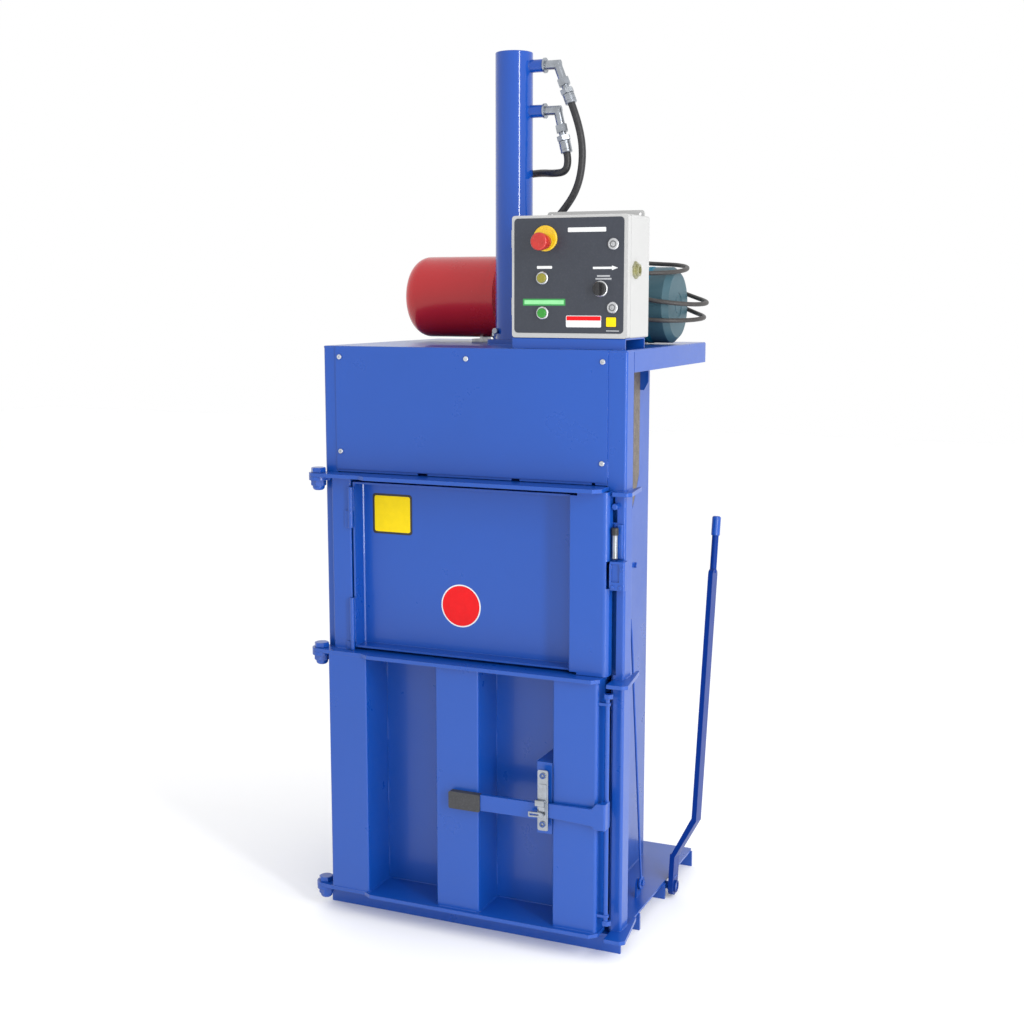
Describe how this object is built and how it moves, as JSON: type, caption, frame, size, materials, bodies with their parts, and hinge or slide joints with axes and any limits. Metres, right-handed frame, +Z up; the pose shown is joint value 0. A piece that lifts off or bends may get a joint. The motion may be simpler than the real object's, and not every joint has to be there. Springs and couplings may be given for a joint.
{
  "type": "recycling baler",
  "caption": "Upright hydraulic baler: chamber behind a ribbed full-height door with a feed door in it, press cylinder, tank and motor on top, control box, latch and eject lever.",
  "frame": {"origin": "on the floor under the middle of the outline seen from above", "axes": "+Z up, +X to the machine's right seen from the front, +Y to its back"},
  "size_m": [0.9736, 0.789, 2.355],
  "materials": {
    "blue_paint": "semi-gloss powder coat",
    "white_paint": "fine textured powder coat",
    "overlay_film": "matt printed film",
    "red_paint": "gloss enamel",
    "teal_paint": "satin enamel",
    "teal_cap": "satin enamel on casting",
    "zinc_steel": "bright zinc plate",
    "rod_chrome": "hard chrome",
    "plain_steel": "oiled mill finish",
    "block_metal": "machined",
    "hose_rubber": "smooth cover",
    "cable_jacket": "matt jacket",
    "grip_rubber": "matt",
    "wear_plastic": "scuffed",
    "yellow_plastic": "gloss",
    "red_plastic": "gloss",
    "olive_plastic": "translucent lens",
    "green_plastic": "translucent lens",
    "black_plastic": "satin",
    "bezel_chrome": "satin chrome"
  },
  "bodies": {
    "frame": {"back_wall": "blue_paint", "bolt_guides": "blue_paint", "box_gland": "zinc_steel", "box_pedestal": "blue_paint", "control_box": "white_paint", "cover_screws": "zinc_steel", "cylinder_barrel": "blue_paint", "cylinder_base": "blue_paint", "cylinder_bolts": "zinc_steel", "floor_plate": "blue_paint", "foot_angles": "blue_paint", "front_cover": "blue_paint", "hinge_bolts": "blue_paint", "hose_ferrules": "zinc_steel", "hose_lower": "hose_rubber", "hose_upper": "hose_rubber", "left_post": "blue_paint", "left_side_wall": "blue_paint", "motor_body": "teal_paint", "motor_cable": "cable_jacket", "motor_end_cap": "teal_cap", "port_elbows": "zinc_steel", "power_unit_feet": "block_metal", "pump_block": "block_metal", "reservoir": "red_paint", "right_post": "blue_paint", "right_side_wall": "blue_paint", "top_plate": "blue_paint", "wear_strip": "wear_plastic"},
    "main_door": {"door_bands": "blue_paint", "door_ribs": "blue_paint", "door_panel": "blue_paint", "door_stiles": "blue_paint", "feed_hinge_lower": "blue_paint", "toggle_bracket": "blue_paint"},
    "feed_door": {"feed_pan": "blue_paint", "feed_stile": "blue_paint", "feed_keeper": "blue_paint"},
    "latch": {"latch_bar": "blue_paint", "latch_lever": "blue_paint", "lever_grip": "grip_rubber", "toggle_plate": "zinc_steel"},
    "catch": {"toggle_finger": "zinc_steel"},
    "feed_latch": {"feed_bolt": "zinc_steel", "feed_bolt_knob": "black_plastic"},
    "ram": {"piston_rod": "rod_chrome", "platen": "plain_steel"},
    "eject": {"eject_shaft": "blue_paint", "eject_lever": "blue_paint", "eject_grip": "blue_paint"},
    "hook": {"hook_rod": "blue_paint"},
    "lid": {"lid": "white_paint", "lid_overlay": "overlay_film", "estop_ring": "yellow_plastic", "button_bezels": "bezel_chrome", "lid_locks": "bezel_chrome"},
    "estop": {"estop_button": "red_plastic"},
    "yellow_button": {"button_yellow": "olive_plastic"},
    "green_button": {"button_green": "green_plastic"},
    "selector": {"selector_knob": "black_plastic"}
  },
  "joints": [
    {"name": "main_door_hinge", "type": "hinge", "parent": "frame", "child": "main_door", "pos_m": [-0.46075, -0.3315, 0.7], "axis": [0, 0, -1], "range_deg": [0, 110]},
    {"name": "feed_door_hinge", "type": "hinge", "parent": "main_door", "child": "feed_door", "pos_m": [-0.36275, -0.332, 0.99], "axis": [0, 0, -1], "range_deg": [0, 105]},
    {"name": "door_latch_turn", "type": "hinge", "parent": "main_door", "child": "latch", "pos_m": [0.38125, -0.3465, 0.4], "axis": [0, 0, 1], "range_deg": [0, 95]},
    {"name": "catch_press", "type": "hinge", "parent": "latch", "child": "catch", "pos_m": [0.21925, -0.3915, 0.386], "axis": [0, -1, 0], "range_deg": [0, 35], "stiffness_Nm_per_rad": 0.02, "springref_deg": -28.65},
    {"name": "feed_bolt_slide", "type": "slide", "parent": "frame", "child": "feed_latch", "axis": [0, 0, -1], "range_m": [0, 0.028]},
    {"name": "ram_slide", "type": "slide", "parent": "frame", "child": "ram", "axis": [0, 0, -1], "range_m": [0, 0.64]},
    {"name": "eject_lever_turn", "type": "hinge", "parent": "frame", "child": "eject", "pos_m": [-0.02975, 0.1195, 0.032], "axis": [1, 0, 0], "range_deg": [0, 60]},
    {"name": "hook_rod_swing", "type": "hinge", "parent": "frame", "child": "hook", "pos_m": [0.37225, -0.0295, 0.09], "axis": [-1, 0, 0], "range_deg": [0, 20]},
    {"name": "lid_hinge", "type": "hinge", "parent": "frame", "child": "lid", "pos_m": [0.08425, -0.26025, 1.75], "axis": [0, 0, -1], "range_deg": [0, 110]},
    {"name": "stop_push", "type": "slide", "parent": "lid", "child": "estop", "axis": [0, 1, 0], "range_m": [0, 0.006], "stiffness_N_per_m": 900, "springref_m": -0.006},
    {"name": "yellow_push", "type": "slide", "parent": "lid", "child": "yellow_button", "axis": [0, 1, 0], "range_m": [0, 0.004], "stiffness_N_per_m": 700, "springref_m": -0.004},
    {"name": "green_push", "type": "slide", "parent": "lid", "child": "green_button", "axis": [0, 1, 0], "range_m": [0, 0.004], "stiffness_N_per_m": 700, "springref_m": -0.004},
    {"name": "selector_turn", "type": "hinge", "parent": "lid", "child": "selector", "pos_m": [0.33025, -0.3015, 1.726], "axis": [0, -1, 0], "range_deg": [0, 90]}
  ]
}
